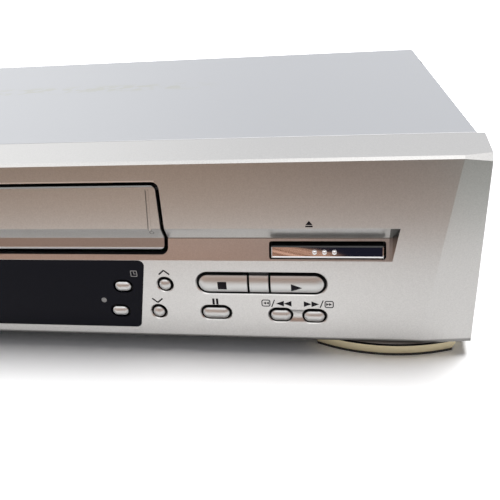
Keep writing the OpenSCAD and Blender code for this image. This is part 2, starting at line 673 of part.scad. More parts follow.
// Deck plate with slots for the loading arms
module arm_slot(side) {
    pivot = [deck_x + side * arm_gear_r, pivot_y];
    translate(pivot) mirror([side > 0 ? 1 : 0, 0]) rotate(post_rest - arm_swing - 8) intersection() {
        difference() {
            circle(r=arm_r + 4.6, $fn=96);
            circle(r=arm_r - 4.6, $fn=96);
        }
        polygon([[0, 0], [90, 0], 90 * [cos(45), sin(45)] * 1.3, 90 * [cos(90), sin(90)] * 1.3,
            120 * [cos(arm_swing + 16), sin(arm_swing + 16)]]);
    }
}
module deck_plate() color("lightgray") from_front() difference() {
    union() {
        along_z(deck_z, deck_top) difference() {
            polygon(round_box(deck_x - side_half - 6, deck_x + side_half + 6, panel_d + 2,
                panel_d + 2 + deck_d, 3));
            for (s = [-1, 1]) arm_slot(s);
            translate(clutch_at) circle(r=shaft_r + run_gap);
        }
        for (s = [-1, 1]) {
            rod_z([deck_x + s * arm_gear_r, pivot_y], pivot_r, arm_z - 2, deck_z + eps);
            rod_z([deck_x + s * reel_half, reel_y], shaft_r, deck_z, deck_top + 12);
        }
        rod_z(idler_pivot, shaft_r, deck_z, deck_top + 5);
        rod_z(mode_at(), pivot_r, arm_z - 2, deck_z + eps);
        rod_z(clutch_at, shaft_r, wheel_z - 1, deck_z + eps);
        rod_z(pinch_pivot, pivot_r, deck_z, deck_top + 12);
        rod_z(tension_pivot, pivot_r, deck_z, deck_top + 5);
        rod_z(capstan_at, 5, arm_z - 0.7, deck_top + 8);
    }
    rod_z(capstan_at, capstan_r + run_gap, arm_z - 2, deck_top + 9);
}
function mesh_offset() = let (step = 360 / arm_teeth) 180 - (floor((180 - mode_turn) / step) + 0.5) *
    step - mode_turn;
function mode_at() = [deck_x + arm_gear_r, pivot_y] + (arm_gear_r + mode_r) * [cos(mode_turn),
    sin(mode_turn)];

// Cassette carriage: fixed side plates, a sliding frame driven by a rack, and the holder that drops in it
module side_slot(y0, y1, z0, z1) along_x(deck_x + side_half - 1, deck_x + side_half + sheet_in + 1)
    polygon(round_box(y0, y1, z0, z1, min(y1 - y0, z1 - z0) / 2 - eps));
module carriage_side() difference() {
    union() {
        box(deck_x + side_half, deck_x + side_half + sheet_in, panel_d + 2.5, 160, deck_top, side_top);
        box(deck_x + side_half, deck_x + side_half + 5, 60, 150, deck_top, deck_top + 1);
    }
    side_slot(pin_ys[0] - 2, pin_ys[1] + carriage_travel + 2, guide_z - pin_r - run_gap,
        guide_z + pin_r + run_gap);
    side_slot(pin_ys[0] - 2, pin_ys[0] + carriage_travel + 2, drop_pin_z - 2, drop_pin_z + 2);
    side_slot(pin_ys[0] + carriage_travel - 2, pin_ys[0] + carriage_travel + 2,
        drop_pin_z - holder_drop - 2, drop_pin_z + 2);
}
module carriage_frame() color("lightgray") from_front() {
    about_deck() carriage_side();
    rod_x([pinion_y, rack_pitch_z - pinion_r], 2, deck_x + slider_half + 1, deck_x + side_half + eps);
}
rack_len = carriage_travel + 10;
module rack() {
    count = floor(rack_len / (PI * tooth_m));
    pitch = PI * tooth_m;
    for (i = [0:count - 1]) translate([0, pinion_y - pitch * (i - 0.5) + pitch, rack_pitch_z])
        along_x(deck_x + slider_half + 1.4, deck_x + slider_half + 4.4)
            polygon([[-0.95, 1.3], [0.95, 1.3], [0.42, -0.85], [-0.42, -0.85]]);
}
module slider_side() difference() {
    union() {
        box(deck_x + slider_half, deck_x + slider_half + sheet_in, holder_y, holder_y + holder_d,
            rack_pitch_z + 1.2, slider_top);
        for (y = pin_ys) rod_x([y, guide_z], pin_r, deck_x + slider_half, deck_x + side_half + sheet_in);
        box(deck_x + slider_half, deck_x + slider_half + 4.4, holder_y + 2, pinion_y + 5,
            rack_pitch_z + 1.2, rack_pitch_z + 4.2);
    }
    for (y = pin_ys) along_x(deck_x + slider_half - 1, deck_x + slider_half + 2)
        polygon(round_box(y - pin_r - run_gap, y + pin_r + run_gap,
            drop_pin_z - holder_drop - pin_r - run_gap,
            drop_pin_z + pin_r + run_gap, pin_r));
}
module carriage_slider() color("gainsboro") from_front() {
    about_deck() slider_side();
    box(deck_x - slider_half - 0.5, deck_x + slider_half + 0.5, holder_y + holder_d - 5,
        holder_y + holder_d,
        slider_top - 1.2, slider_top);
    rack();
}
module cassette_holder() color("lightgray") from_front() {
    top = holder_top - sheet_in;
    about_deck() {
        box(deck_x + holder_half - sheet_in, deck_x + holder_half, holder_y, holder_y + holder_d,
            holder_z, top + sheet_in);
        box(deck_x + holder_half - 10, deck_x + holder_half, holder_y, holder_y + holder_d, holder_z,
            holder_z + sheet_in);
        for (y = pin_ys) rod_x([y, drop_pin_z], pin_r, deck_x + holder_half - 0.5,
            deck_x + slider_half + sheet_in);
    }
    difference() {
        box(deck_x - holder_half, deck_x + holder_half, holder_y, holder_y + holder_d, top, top + sheet_in);
        box(deck_x - 60, deck_x + 60, holder_y + 12, holder_y + holder_d - 10, top - 1, top + 3);
    }
}
module carriage_gear() color("ivory") from_front()
    translate([deck_x + slider_half + 1.4, pinion_y, rack_pitch_z - pinion_r]) rotate([0, 90, 0])
        gear(tooth_m, pinion_teeth, 3, 2 + run_gap);

// Reels and their drive
module reel_table(side) translate([deck_x + side * reel_half, reel_y, deck_top + 1]) difference() {
    union() {
        cylinder(r=reel_r, h=3);
        cylinder(r=reel_r - 6, h=4);
        cylinder(r=3.6, h=spindle_h);
        for (a = [0:120:240]) rotate(a) translate([0, -0.8, 0]) cube([6.4, 1.6, spindle_h - 2]);
    }
    translate([0, 0, -1]) cylinder(r=shaft_r + run_gap, h=spindle_h - 1);
}
module supply_reel_table() color("dimgray") from_front() reel_table(-1);
module takeup_reel_table() color("dimgray") from_front() reel_table(1);
idler_at = [deck_x, reel_y];
module idler_arm() color("ivory") from_front() difference() {
    union() {
        rod_z(idler_pivot, 4, deck_top + air, deck_top + air + 1.2);
        box(deck_x - 2.5, deck_x + 2.5, idler_pivot[1], idler_at[1], deck_top + air, deck_top + air + 1.2);
        rod_z(idler_at, 1.2, deck_top + air, deck_top + 5);
    }
    rod_z(idler_pivot, shaft_r + run_gap, deck_top, deck_top + 4);
}
module idler_wheel() color("black") from_front() difference() {
    rod_z(idler_at, idler_r, deck_top + 1.9, deck_top + 4.4);
    rod_z(idler_at, 1.2 + run_gap, deck_top, deck_top + 6);
}
module clutch_pulley() color("ivory") from_front() difference() {
    rod_z(clutch_at, clutch_r, wheel_z, wheel_z + wheel_t);
    rod_z(clutch_at, shaft_r + run_gap, wheel_z - 1, wheel_z + 5);
}
belt_in = air;
module belt_loop(grow) hull() {
    translate(clutch_at) circle(r=clutch_r + grow);
    translate(capstan_at) circle(r=flywheel_r - 6 + grow);
}
module drive_belt() color("black") from_front() along_z(wheel_z + 0.5, wheel_z + 2.5) difference() {
    belt_loop(belt_in + belt_t);
    belt_loop(belt_in);
}

// Head drum
module drum_frame() translate([deck_x, drum_y, drum_z]) rotate([-drum_tilt, 0, 0]) children();
module lower_drum() color("silver") from_front() {
    drum_frame() difference() {
        translate([0, 0, -17]) cylinder(r=drum_r, h=16.8);
        translate([0, 0, -3]) cylinder(r=5.5, h=5);
        translate([0, 0, -18]) cylinder(r=2.5, h=20);
    }
    difference() {
        rod_z([deck_x, drum_y], 24, deck_top, drum_z - 14);
        rod_z([deck_x, drum_y], 12, deck_top - 1, drum_z);
    }
}
module upper_drum() color("gainsboro") from_front() drum_frame() difference() {
    union() {
        translate([0, 0, 0.3]) cylinder(r=drum_r, h=18);
        translate([0, 0, 18]) cylinder(r=15, h=6);
        translate([0, 0, -14]) cylinder(r=2.45, h=15);
    }
    translate([0, 0, 13]) difference() {
        cylinder(r=drum_r - 4, h=8);
        cylinder(r=17, h=8);
    }
}

// Tape drive
module capstan() color("silver") from_front() {
    rod_z(capstan_at, capstan_r, wheel_z, 62);
    rod_z(capstan_at, flywheel_r, wheel_z + wheel_t - 0.9, wheel_z + wheel_t + 1.2);
    rod_z(capstan_at, flywheel_r - 6, wheel_z, wheel_z + wheel_t);
}
module capstan_motor() color("dimgray") from_front() difference() {
    rod_z(capstan_at, flywheel_r - 2, floor_top, wheel_z - air);
    rod_z(capstan_at, 3, floor_top - 1, wheel_z + 1);
}
module pinch_arm() color("gray") from_front() difference() {
    union() {
        rod_z(pinch_pivot, 5, deck_top + air, deck_top + 12);
        for (z = [deck_top + 7, drum_z + 9]) link(pinch_pivot, pinch_rest, 4, z, z + 2);
        rod_z(pinch_pivot, 4, deck_top + 12, drum_z + 11);
        rod_z(pinch_rest, shaft_r, deck_top + 7, drum_z + 11);
    }
    rod_z(pinch_pivot, pivot_r + run_gap, deck_top, deck_top + 12.5);
}
module pinch_roller() color("black") from_front() difference() {
    rod_z(pinch_rest, pinch_roller_r, deck_top + 9.5, drum_z + 8.5);
    rod_z(pinch_rest, shaft_r + run_gap, deck_top, drum_z + 10);
}
post_side = [[0, arm_z + 0.3], [3.8, arm_z + 0.3], [3.8, deck_top + 4], [1.2, deck_top + 4], [1.2,
    drum_z - 7],
    [3, drum_z - 7], [3, drum_z + 7], [2.6, drum_z + 7], [2.6, drum_z + 8], [0, drum_z + 8]];
module guide_post() rotate_extrude() polygon(post_side);
module loading_arm(side) translate([deck_x + side * arm_gear_r, pivot_y, 0]) mirror([side > 0 ? 1 : 0, 0,
    0]) {
    translate([0, 0, arm_z]) rotate(side > 0 ? 0 : 360 / arm_teeth / 2) gear(arm_m, arm_teeth, gear_t,
        pivot_r + run_gap);
    rotate(post_rest) {
        along_z(arm_z + 0.6, arm_z + gear_t - 0.6) polygon([[8, -4.5], [arm_r, -3], [arm_r, 3], [8, 4.5]]);
        translate([arm_r, 0, 0]) guide_post();
    }
}
module supply_loading_arm() color("goldenrod") from_front() loading_arm(-1);
module takeup_loading_arm() color("goldenrod") from_front() loading_arm(1);
module mode_gear() color("ivory") from_front() translate([mode_at()[0], mode_at()[1], arm_z])
    rotate(mode_turn + 180 - mesh_offset() * arm_gear_r / mode_r) gear(arm_m, mode_teeth, gear_t,
        pivot_r + run_gap);
module tension_arm() color("silver") from_front() difference() {
    union() {
        rod_z(tension_pivot, 4.5, deck_top + air, deck_top + 4);
        link(tension_pivot, tension_post, 3, deck_top + air, deck_top + 2);
        rod_z(tension_post, 1.5, deck_top + 1, 52);
    }
    rod_z(tension_pivot, pivot_r + run_gap, deck_top, deck_top + 5);
}
module erase_head() color("silver") from_front() {
    box(-86, -76, 168, 176, drum_z - 8, drum_z + 8);
    rod_z([-81, 172], 3, deck_top, drum_z - 8);
}
module audio_head() color("silver") from_front() {
    box(41, 53, 177, 187, drum_z - 8, drum_z + 8);
    rod_z([47, 183], 3.4, deck_top, drum_z - 8);
    box(38, 58, 176, 198, deck_top, deck_top + 2);
}
module loading_motor() color("gray") from_front() {
    rod_z([75, 208], 11, deck_top, deck_top + 24);
    rod_z([75, 208], 3, deck_top + 24, deck_top + 26);
}

// Electronics
module main_board() color("darkgreen") from_front() difference() {
    box(deck_edge, pan_half - 4.7, panel_d + 6, case_d - 3, board_z0, board_z);
    for (at = main_bolts) rod_z(at, 1.6, board_z0 - 1, board_z + 1);
}
module board_parts() color("black") from_front() {
    for (i = [0:4], y = [60, 84]) rod_z([deck_edge + right_room * (0.12 + 0.14 * i), y], 4.5, board_z,
        board_z + 12);
    for (x = [deck_edge + 12, deck_edge + right_room * 0.45], y = [110, 150]) box(x, x + 26, y, y + 18,
        board_z, board_z + 3);
    box(deck_edge + 2, deck_edge + 6, 120, 180, board_z, board_z + 9);
}
module power_board() color("peru") from_front() difference() {
    box(power_x, -132, panel_d + 6, case_d - 3, board_z0, board_z);
    for (at = power_bolts) rod_z(at, 1.6, board_z0 - 1, board_z + 1);
}
module transformer() color("goldenrod") from_front() {
    box(power_x + 17, power_x + 53, 130, 166, board_z, board_z + 30);
    box(power_x + 11, power_x + 58, 140, 156, board_z, board_z + 26);
    for (x = [17, 36, 55]) rod_z([power_x + x, 70], 8, board_z, board_z + 26);
}
module tuner_can() color("silver") from_front() {
    box(rf_x - 10, rf_x + 12, 190, case_d - sheet - air, board_z, 58);
    for (z = rf_zs) difference() {
        rod_y([rf_x, z], 6, case_d - sheet - air - eps, case_d + rear_proud);
        rod_y([rf_x, z], 4.2, case_d, case_d + rear_proud + 1);
    }
}
module scart_sockets() color("dimgray") from_front() difference() {
    union() {
        along_y(case_d - 16, case_d + 1.5) scart_outline(1.5);
        box(scart_x - 22, scart_x + 22, case_d - 18, case_d - 2.5, board_z, 52);
    }
    along_y(case_d - 12, case_d + 2) scart_outline();
}
module rear_jacks() color("silver") from_front() difference() {
    union() {
        for (at = rear_jack_at) rod_y(at, 4.1, case_d - 3, case_d + 5);
        box(rear_jack_x - 6, rear_jack_x + 6, case_d - 14, case_d - sheet - air, board_z,
            rear_jack_at[1][1] + 6);
    }
    for (at = rear_jack_at) rod_y(at, 1.65, case_d - 6, case_d + 6);
}
module mains_inlet() color("black") from_front() difference() {
    along_y(case_d - 18, case_d + 1) polygon(round_box(inlet_at[0] - inlet_w / 2, inlet_at[0] + inlet_w / 2,
        inlet_at[1] - inlet_h / 2, inlet_at[1] + inlet_h / 2, 2));
    along_y(case_d - 12, case_d + 2) capsule(inlet_at, 16, 8);
}

front_panel();
top_cover();
bottom_pan();
rear_panel();
case_screws();
front_feet();
rear_feet();
foot_pads();
cassette_door();
display_window();
display_module();
front_board();
tact_switches();
stop_button();
play_button();
pause_button();
rewind_button();
fast_forward_button();
channel_up_button();
channel_down_button();
timer_button();
record_button();
eject_button();
power_button();
transport_trim();
front_av_jacks();
deck_plate();
carriage_frame();
carriage_slider();
cassette_holder();
carriage_gear();
supply_reel_table();
takeup_reel_table();
idler_arm();
idler_wheel();
lower_drum();
upper_drum();
capstan();
capstan_motor();
pinch_arm();
pinch_roller();
supply_loading_arm();
takeup_loading_arm();
mode_gear();
tension_arm();
erase_head();
audio_head();
loading_motor();
clutch_pulley();
drive_belt();
main_board();
board_parts();
power_board();
transformer();
tuner_can();
scart_sockets();
rear_jacks();
mains_inlet();
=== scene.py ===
import math

import bmesh
import bpy
from mathutils import Matrix, Vector


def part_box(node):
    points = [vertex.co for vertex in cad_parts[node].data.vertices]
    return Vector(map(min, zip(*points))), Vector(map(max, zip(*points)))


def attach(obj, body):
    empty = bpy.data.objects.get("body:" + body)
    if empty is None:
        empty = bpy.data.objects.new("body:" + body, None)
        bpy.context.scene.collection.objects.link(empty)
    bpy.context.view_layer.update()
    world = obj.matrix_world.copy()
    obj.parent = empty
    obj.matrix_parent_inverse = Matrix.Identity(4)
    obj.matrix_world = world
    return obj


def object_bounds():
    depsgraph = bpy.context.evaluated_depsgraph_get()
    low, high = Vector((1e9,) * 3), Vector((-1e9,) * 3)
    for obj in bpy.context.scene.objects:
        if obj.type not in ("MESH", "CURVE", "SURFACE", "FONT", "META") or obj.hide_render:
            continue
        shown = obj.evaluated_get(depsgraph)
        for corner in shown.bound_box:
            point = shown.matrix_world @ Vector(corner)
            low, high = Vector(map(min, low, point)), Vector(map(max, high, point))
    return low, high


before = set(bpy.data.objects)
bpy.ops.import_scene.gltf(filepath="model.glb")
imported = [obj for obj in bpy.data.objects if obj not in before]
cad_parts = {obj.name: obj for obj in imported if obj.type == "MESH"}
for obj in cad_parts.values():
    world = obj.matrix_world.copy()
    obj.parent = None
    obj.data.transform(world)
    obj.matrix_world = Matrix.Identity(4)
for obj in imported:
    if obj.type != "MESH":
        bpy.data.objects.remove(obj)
cad_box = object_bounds()

# Camera
# The photograph was taken from close before the right half of the front, looking down on it.
# The camera's place is measured from the floor and from the front face, which the window shares.
mm = 0.001
face_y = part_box("display_window")[0][1]
frame_px, focal_px, film_wide, nearest_seen = 500, 588.0, 36.0, 10 * mm
camera_x, camera_before, camera_z = 156.8 * mm, 211.3 * mm, 154.5 * mm
camera_turn, camera_dip, camera_roll = 0.16385, 0.45415, 0.069
camera_data = bpy.data.cameras.new("camera")
camera_data.sensor_width = film_wide
camera_data.lens = film_wide * focal_px / frame_px
camera_data.clip_start = nearest_seen
camera = bpy.data.objects.new("camera", camera_data)
bpy.context.scene.collection.objects.link(camera)
camera.matrix_world = (
    Matrix.Translation((camera_x, face_y - camera_before, camera_z))
    @ Matrix.Rotation(camera_turn, 4, "Z")
    @ Matrix.Rotation(math.pi / 2 - camera_dip, 4, "X")
    @ Matrix.Rotation(-camera_roll, 4, "Z")
)
bpy.context.scene.camera = camera
bpy.context.scene.view_settings.view_transform = "Standard"


# Top cover
# A sheet of steel bent down at both sides, sprayed in light silver with a fine texture and screwed
# to the pan. It is chipped on the right bend and has a faint old smear; a painted highlight runs along the
# front.
class Signal:
    """A shader socket that can stand in a sum."""

    def __init__(self, bench, socket):
        self.bench = bench
        self.socket = socket

    def maths(self, operation, first, second=0.0):
        return self.bench.node("ShaderNodeMath", {"operation": operation}, {0: first, 1: second})

    def __add__(self, other):
        return self.maths("ADD", self, other)

    __radd__ = __add__

    def __mul__(self, other):
        return self.maths("MULTIPLY", self, other)

    __rmul__ = __mul__

    def __sub__(self, other):
        return self.maths("SUBTRACT", self, other)

    def __rsub__(self, other):
        return self.maths("SUBTRACT", other, self)

    def __neg__(self):
        return self.maths("MULTIPLY", self, -1.0)

    def __truediv__(self, other):
        return self.maths("DIVIDE", self, other)

    def __gt__(self, other):
        return self.maths("GREATER_THAN", self, other)

    def __lt__(self, other):
        return self.maths("LESS_THAN", self, other)

    def size(self):
        return self.maths("ABSOLUTE", self)

    def most(self, other):
        return self.maths("MAXIMUM", self, other)

    def least(self, other):
        return self.maths("MINIMUM", self, other)

    def between(self, low, high):
        return (self > low) * (self < high)

    def ramp(self, start, end):
        inputs = {"Value": self, "From Min": start, "From Max": end}
        return self.bench.node("ShaderNodeMapRange", {"interpolation_type": "SMOOTHSTEP"}, inputs)


class Bench:
    """A node tree to which nodes are added one at a time."""

    # Where a Mix node keeps its share, its two colours and the mixed colour
    share_in, first_in, second_in, mixed_out = 0, 6, 7, 2

    def __init__(self, tree):
        self.tree = tree

    def node(self, kind, settings, inputs, output=0):
        made = self.tree.nodes.new(kind)
        for setting, value in settings.items():
            setattr(made, setting, value)
        for socket, value in inputs.items():
            self.feed(made.inputs[socket], value)
        return Signal(self, made.outputs[output])

    def feed(self, socket, value):
        if isinstance(value, Signal):
            self.tree.links.new(value.socket, socket)
        else:
            socket.default_value = value

    def mix(self, share, first, second):
        inputs = {self.share_in: share, self.first_in: first, self.second_in: second}
        return self.node("ShaderNodeMix", {"data_type": "RGBA"}, inputs, self.mixed_out)

    def ray(self, kind):
        return self.node("ShaderNodeLightPath", {}, {}, kind)

    def split(self, vector):
        return [self.node("ShaderNodeSeparateXYZ", {}, {0: vector}, letter) for letter in "XYZ"]


class Finish(Bench):
    """A material with a Principled shader and the nodes that vary it."""

    def __init__(self, name, **plain):
        self.material = bpy.data.materials.new(name)
        self.material.use_nodes = True
        super().__init__(self.material.node_tree)
        self.shader = self.tree.nodes["Principled BSDF"]
        self.place = self.node("ShaderNodeTexCoord", {}, {}, "Object")
        for socket, value in plain.items():
            self.set(socket.replace("_", " "), value)

    def set(self, socket, value):
        self.feed(self.shader.inputs[socket], value)

    def grain(self, size, detail=2.0):
        inputs = {"Vector": self.place, "Scale": 1 / size, "Detail": detail, "Roughness": 0.6}
        return self.node("ShaderNodeTexNoise", {}, inputs)

    def axes(self):
        return self.split(self.place)

    def way_to(self, point):
        inputs = {0: self.place, 1: point}
        return self.node("ShaderNodeVectorMath", {"operation": "DISTANCE"}, inputs, "Value")

    def bump(self, height, depth):
        inputs = {"Height": height, "Distance": depth, "Strength": 1.0}
        self.set("Normal", self.node("ShaderNodeBump", {}, inputs))


def paint(obj, finish):
    obj.data.materials.clear()
    obj.data.materials.append(finish.material)


def paint_nodes(finish, *names):
    for name in names:
        paint(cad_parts[name], finish)


def shade(colour, factor):
    return tuple(min(1.0, part * factor) for part in colour) + (1.0,)


def speckled(finish, colour, grain, spread):
    return finish.mix(grain, shade(colour, 1 - spread), shade(colour, 1 + spread))


def fine_finish(name, colour, roughness, metallic, grain_size, spread, relief, **plain):
    gloss_spread = 0.12
    made = Finish(name, Metallic=metallic, **plain)
    grain = made.grain(grain_size)
    made.colour = speckled(made, colour, grain, spread)
    made.set("Base Color", made.colour)
    made.set("Roughness", roughness + gloss_spread * (grain - 0.5))
    made.bump(grain, relief)
    return made


# White for painted highlights on the cover, the front moulding and the door.
painted_highlight_white = (1, 1, 1, 1)
cover_colour, smear_colour, chip_colour = (0.49, 0.50, 0.52), (0.455, 0.46, 0.425, 1), (0.12, 0.12, 0.12, 1)
cover_paint = fine_finish("cover_paint", cover_colour, roughness=0.36, metallic=0.6, grain_size=0.6 * mm,
                          spread=0.06, relief=0.008 * mm)
across, deep, high = cover_paint.axes()

smear_y, smear_half_deep, smear_half_wide, smear_patch = 18 * mm, 16 * mm, 90 * mm, 9 * mm
smear_soft_sides, smear_soft_ends = 14 * mm, 40 * mm
patches = cover_paint.grain(smear_patch).ramp(0.45, 0.6)
sides = (smear_half_deep - (deep - smear_y).size()).ramp(0, smear_soft_sides)
ends = (smear_half_wide - across.size()).ramp(0, smear_soft_ends)
smeared = cover_paint.mix(patches * sides * ends, cover_paint.colour, smear_colour)

chip_y, chip_reach, chip_ragged, chip_grain = 68 * mm, 11.5 * mm, 12 * mm, 2.5 * mm
bend_x, bend_z = 211.2 * mm, 86 * mm
torn = (deep - chip_y).size() + cover_paint.grain(chip_grain) * chip_ragged
chip = (torn < chip_reach) * (across > bend_x) * (high > bend_z)
chipped = cover_paint.mix(chip, smeared, chip_colour)

# A painted highlight: a white band along the cover's front edge, brighter towards the right.
cover_front_y, highlight_deep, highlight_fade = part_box("top_cover")[0][1], 0.7 * mm, 130 * mm
painted_front_highlight = (cover_front_y + highlight_deep - deep > 0) * across.ramp(0, highlight_fade)
cover_paint.set("Base Color", cover_paint.mix(painted_front_highlight, chipped, painted_highlight_white))
paint_nodes(cover_paint, "top_cover")

# Bottom pan and rear panel
# Both are plain zinc-coated sheet steel, stamped and folded, with vents and socket holes, and so is
# the tuner's can. Zinc has a broad cloudy spangle over a fine rolled grain.
spangle_size, rolled_size, rolled_relief = 9 * mm, 0.6 * mm, 0.01 * mm
dark_zinc_tone, light_zinc_tone = (0.5, 0.51, 0.52, 1), (0.66, 0.67, 0.68, 1)
zinc = Finish("zinc_sheet", Metallic=0.85)
spangle_inputs = {"Vector": zinc.place, "Scale": 1 / spangle_size}
spangle = zinc.node("ShaderNodeTexVoronoi", {"feature": "F1"}, spangle_inputs)
rolled = zinc.grain(rolled_size)
zinc.set("Base Color", zinc.mix(spangle * 0.6 + rolled * 0.3, dark_zinc_tone, light_zinc_tone))
zinc.set("Roughness", 0.34 + 0.12 * rolled)
zinc.bump(rolled, rolled_relief)
paint_nodes(zinc, "bottom_pan", "rear_panel", "tuner_can")

# Front moulding and cassette door
# Black plastic sprayed with metallic silver, in which fine flakes show. The spray stops just inside
# each hole, so every gap reads black. Thin lines over the door and along its lower lip are painted
# highlights, and the groove's crease, the lower edge, the groove's end and the door carry painted shade.
silver_colour = (0.60, 0.59, 0.575)
# The first colour is painted shade on the silver; the black is bare plastic in the holes and painted shade
# on the caps, the bars and the feet.
painted_shade_colour, bare_and_shade_black = (0.10, 0.10, 0.095, 1), (0.012, 0.012, 0.013, 1)
flake_size, flake_spread, flake_relief, cloud_size = 0.55 * mm, 0.12, 0.003 * mm, 30 * mm
groove_low, groove_line, groove_top, groove_depth = 45 * mm, 53.7 * mm, 59.4 * mm, 3.5 * mm
face_half, face_low, face_high = 184.5 * mm, 11 * mm, 86.3 * mm


def below_face(finish):
    """How far behind the front face a place lies, where the face follows the wedge groove."""
    _, deep, high = finish.axes()
    lower = (high - groove_low) * (groove_depth / (groove_line - groove_low))
    upper = (groove_top - high) * (groove_depth / (groove_top - groove_line))
    return deep - face_y - lower.least(upper).most(0.0)


def spray(finish, stop, shadow, highlight):
    """Silver as deep as stop below the face, with painted shade by the share shadow and a painted highlight
    by the last share.
    """
    across, _, high = finish.axes()
    on_front = (across.size() < face_half) * high.between(face_low, face_high)
    raw = (below_face(finish) > stop) * on_front
    flake, cloud = finish.grain(flake_size, 1.0), finish.grain(cloud_size)
    flaked = speckled(finish, silver_colour, flake, flake_spread)
    # Painted shade and painted highlights are mixed into the silver here.
    silver_with_painted_light = finish.mix(shadow, finish.mix(highlight, flaked, painted_highlight_white), painted_shade_colour)
    finish.set("Base Color", finish.mix(raw, silver_with_painted_light, bare_and_shade_black))
    finish.set("Metallic", 0.96 * (1 - raw))
    finish.set("Roughness", 0.27 + 0.03 * flake + 0.03 * cloud + 0.2 * raw)
    finish.bump(flake, flake_relief)


silver_moulding = Finish("silver_moulding")
across, deep, high = silver_moulding.axes()
scoop_x, scoop_half_wide, scoop_z, scoop_half_tall = 140.35 * mm, 4.1 * mm, 18.95 * mm, 3.2 * mm
hole_stop, scoop_extra = 0.45 * mm, 0.4 * mm
in_scoop = ((across - scoop_x).size() < scoop_half_wide) * ((high - scoop_z).size() < scoop_half_tall)
moulding_stop = hole_stop + in_scoop * scoop_extra

# Painted shade: a dark line along the groove's crease, a darkening under the lower edge, and on the
# groove's right end wall a shade that grows darker towards the top.
crease_half, crease_left, crease_right, crease_dark = 0.22 * mm, 87 * mm, 178 * mm, 0.8
crease = ((high - groove_line).size() < crease_half) * across.between(crease_left, crease_right)
underside_z, underside_soft, underside_dark = 8.4 * mm, 0.8 * mm, 0.65
underside = (underside_z - high).ramp(0, underside_soft)
end_left, end_right, end_deep, end_low, end_high = 177.2 * mm, 181 * mm, 0.2 * mm, 47 * mm, 57 * mm
end_dark = 0.15 + 0.75 * high.ramp(end_low, end_high)
end_wall = (deep - face_y > end_deep) * across.between(end_left, end_right)
end_wall = end_wall * high.between(groove_low, groove_top)
moulding_shadow = (crease * crease_dark).most(underside * underside_dark).most(end_wall * end_dark)

# A painted highlight: a thin bright line along the edge over the door.
over_door_low, over_door_high, over_door_right, over_door_highlight = 79.55 * mm, 80.15 * mm, 85.5 * mm, 0.9
moulding_painted_highlight = high.between(over_door_low, over_door_high) * (across < over_door_right) * over_door_highlight
spray(silver_moulding, moulding_stop, moulding_shadow, moulding_painted_highlight)
paint_nodes(silver_moulding, "front_panel")

silver_door = Finish("silver_door")
across, deep, high = silver_door.axes()
# Painted shade: thin dark lines along both edges of the door's moulded mark and round its ring, and a
# darker top edge and lower slope.
mark_x, mark_z, mark_lean, mark_low, mark_high = 82 * mm, 76 * mm, 0.0664, 58 * mm, 76.5 * mm
mark_half, mark_line, mark_dark = 0.62 * mm, 0.13 * mm, 0.5
from_mark = (across - mark_x + (mark_z - high) * mark_lean).size()
mark_edges = ((from_mark - mark_half).size() < mark_line) * high.between(mark_low, mark_high)
ring_at, ring_r, ring_line, ring_dark = (81.2 * mm, face_y + 1.4 * mm, 57.1 * mm), 0.85 * mm, 0.2 * mm, 0.55
mark_ring = (silver_door.way_to(ring_at) - ring_r).size() < ring_line
door_top, door_top_dark, slope_dark = 77.45 * mm, 0.75, 0.35
door_shadow = (mark_edges * mark_dark).most(mark_ring * ring_dark).most((high > door_top) * door_top_dark)
door_shadow = door_shadow.most((high < groove_line) * slope_dark)
# A painted highlight along the door's lower lip.
door_lip, door_lip_highlight, door_stop = 50.2 * mm, 0.8, 0.9 * mm
spray(silver_door, door_stop, door_shadow, (high < door_lip) * door_lip_highlight)
paint_nodes(silver_door, "cassette_door")

# Display window
# One smoked acrylic plate, polished and black while the recorder is off.
# A faint film of dust lies on it.
clean_acrylic, dusty_acrylic = (0.002, 0.002, 0.006, 1), (0.005, 0.005, 0.012, 1)
window = Finish("smoked_window", Metallic=0.0, Specular_IOR_Level=0.09)
dust_size = 0.5 * mm
dust = window.grain(dust_size)
window.set("Base Color", window.mix(dust, clean_acrylic, dusty_acrylic))
window.set("Roughness", 0.08 + 0.06 * dust)
paint_nodes(window, "display_window", "display_module")

# Button caps
# Silver caps with a domed face, slightly lighter and duller than the panel, their sides painted black as
# shade.
# Stop and play share one capsule with a fixed piece between them.
cap_colour, cap_skirt, cap_grain_size, cap_spread = (0.63, 0.63, 0.62), 0.35 * mm, 0.5 * mm, 0.03
cap_paint = Finish("cap_silver")
cap_grain = cap_paint.grain(cap_grain_size)
# The cap's sides, behind its face, are painted black as shade.
cap_side_shade = below_face(cap_paint) > cap_skirt
cap_flaked = speckled(cap_paint, cap_colour, cap_grain, cap_spread)
cap_paint.set("Base Color", cap_paint.mix(cap_side_shade, cap_flaked, bare_and_shade_black))
cap_paint.set("Metallic", 0.93 * (1 - cap_side_shade))
cap_paint.set("Roughness", 0.36 + 0.06 * cap_grain + 0.3 * cap_side_shade)
caps = ["stop", "play", "pause", "rewind", "fast_forward", "channel_up", "channel_down", "timer", "record"]
paint_nodes(cap_paint, "transport_trim", *(cap + "_button" for cap in caps))

# Eject and power bars
# Long convex bars plated in bright chrome, set in black slots in the groove. Their flanks in the slot
# are painted black as shade and their upper edge as a painted dark reflection, and the lower lip is
# polished round, so that it glints.
dull_chrome, clear_chrome = (0.78, 0.78, 0.79, 1), (0.84, 0.84, 0.85, 1)
shade_proud, shade_top, haze_size = 0.6 * mm, 50.75 * mm, 4 * mm
lip_low, lip_high, lip_depth = 46.85 * mm, 47.4 * mm, 0.27 * mm
chrome = Finish("bright_chrome")
haze = chrome.grain(haze_size)
bar_high = chrome.axes()[2]
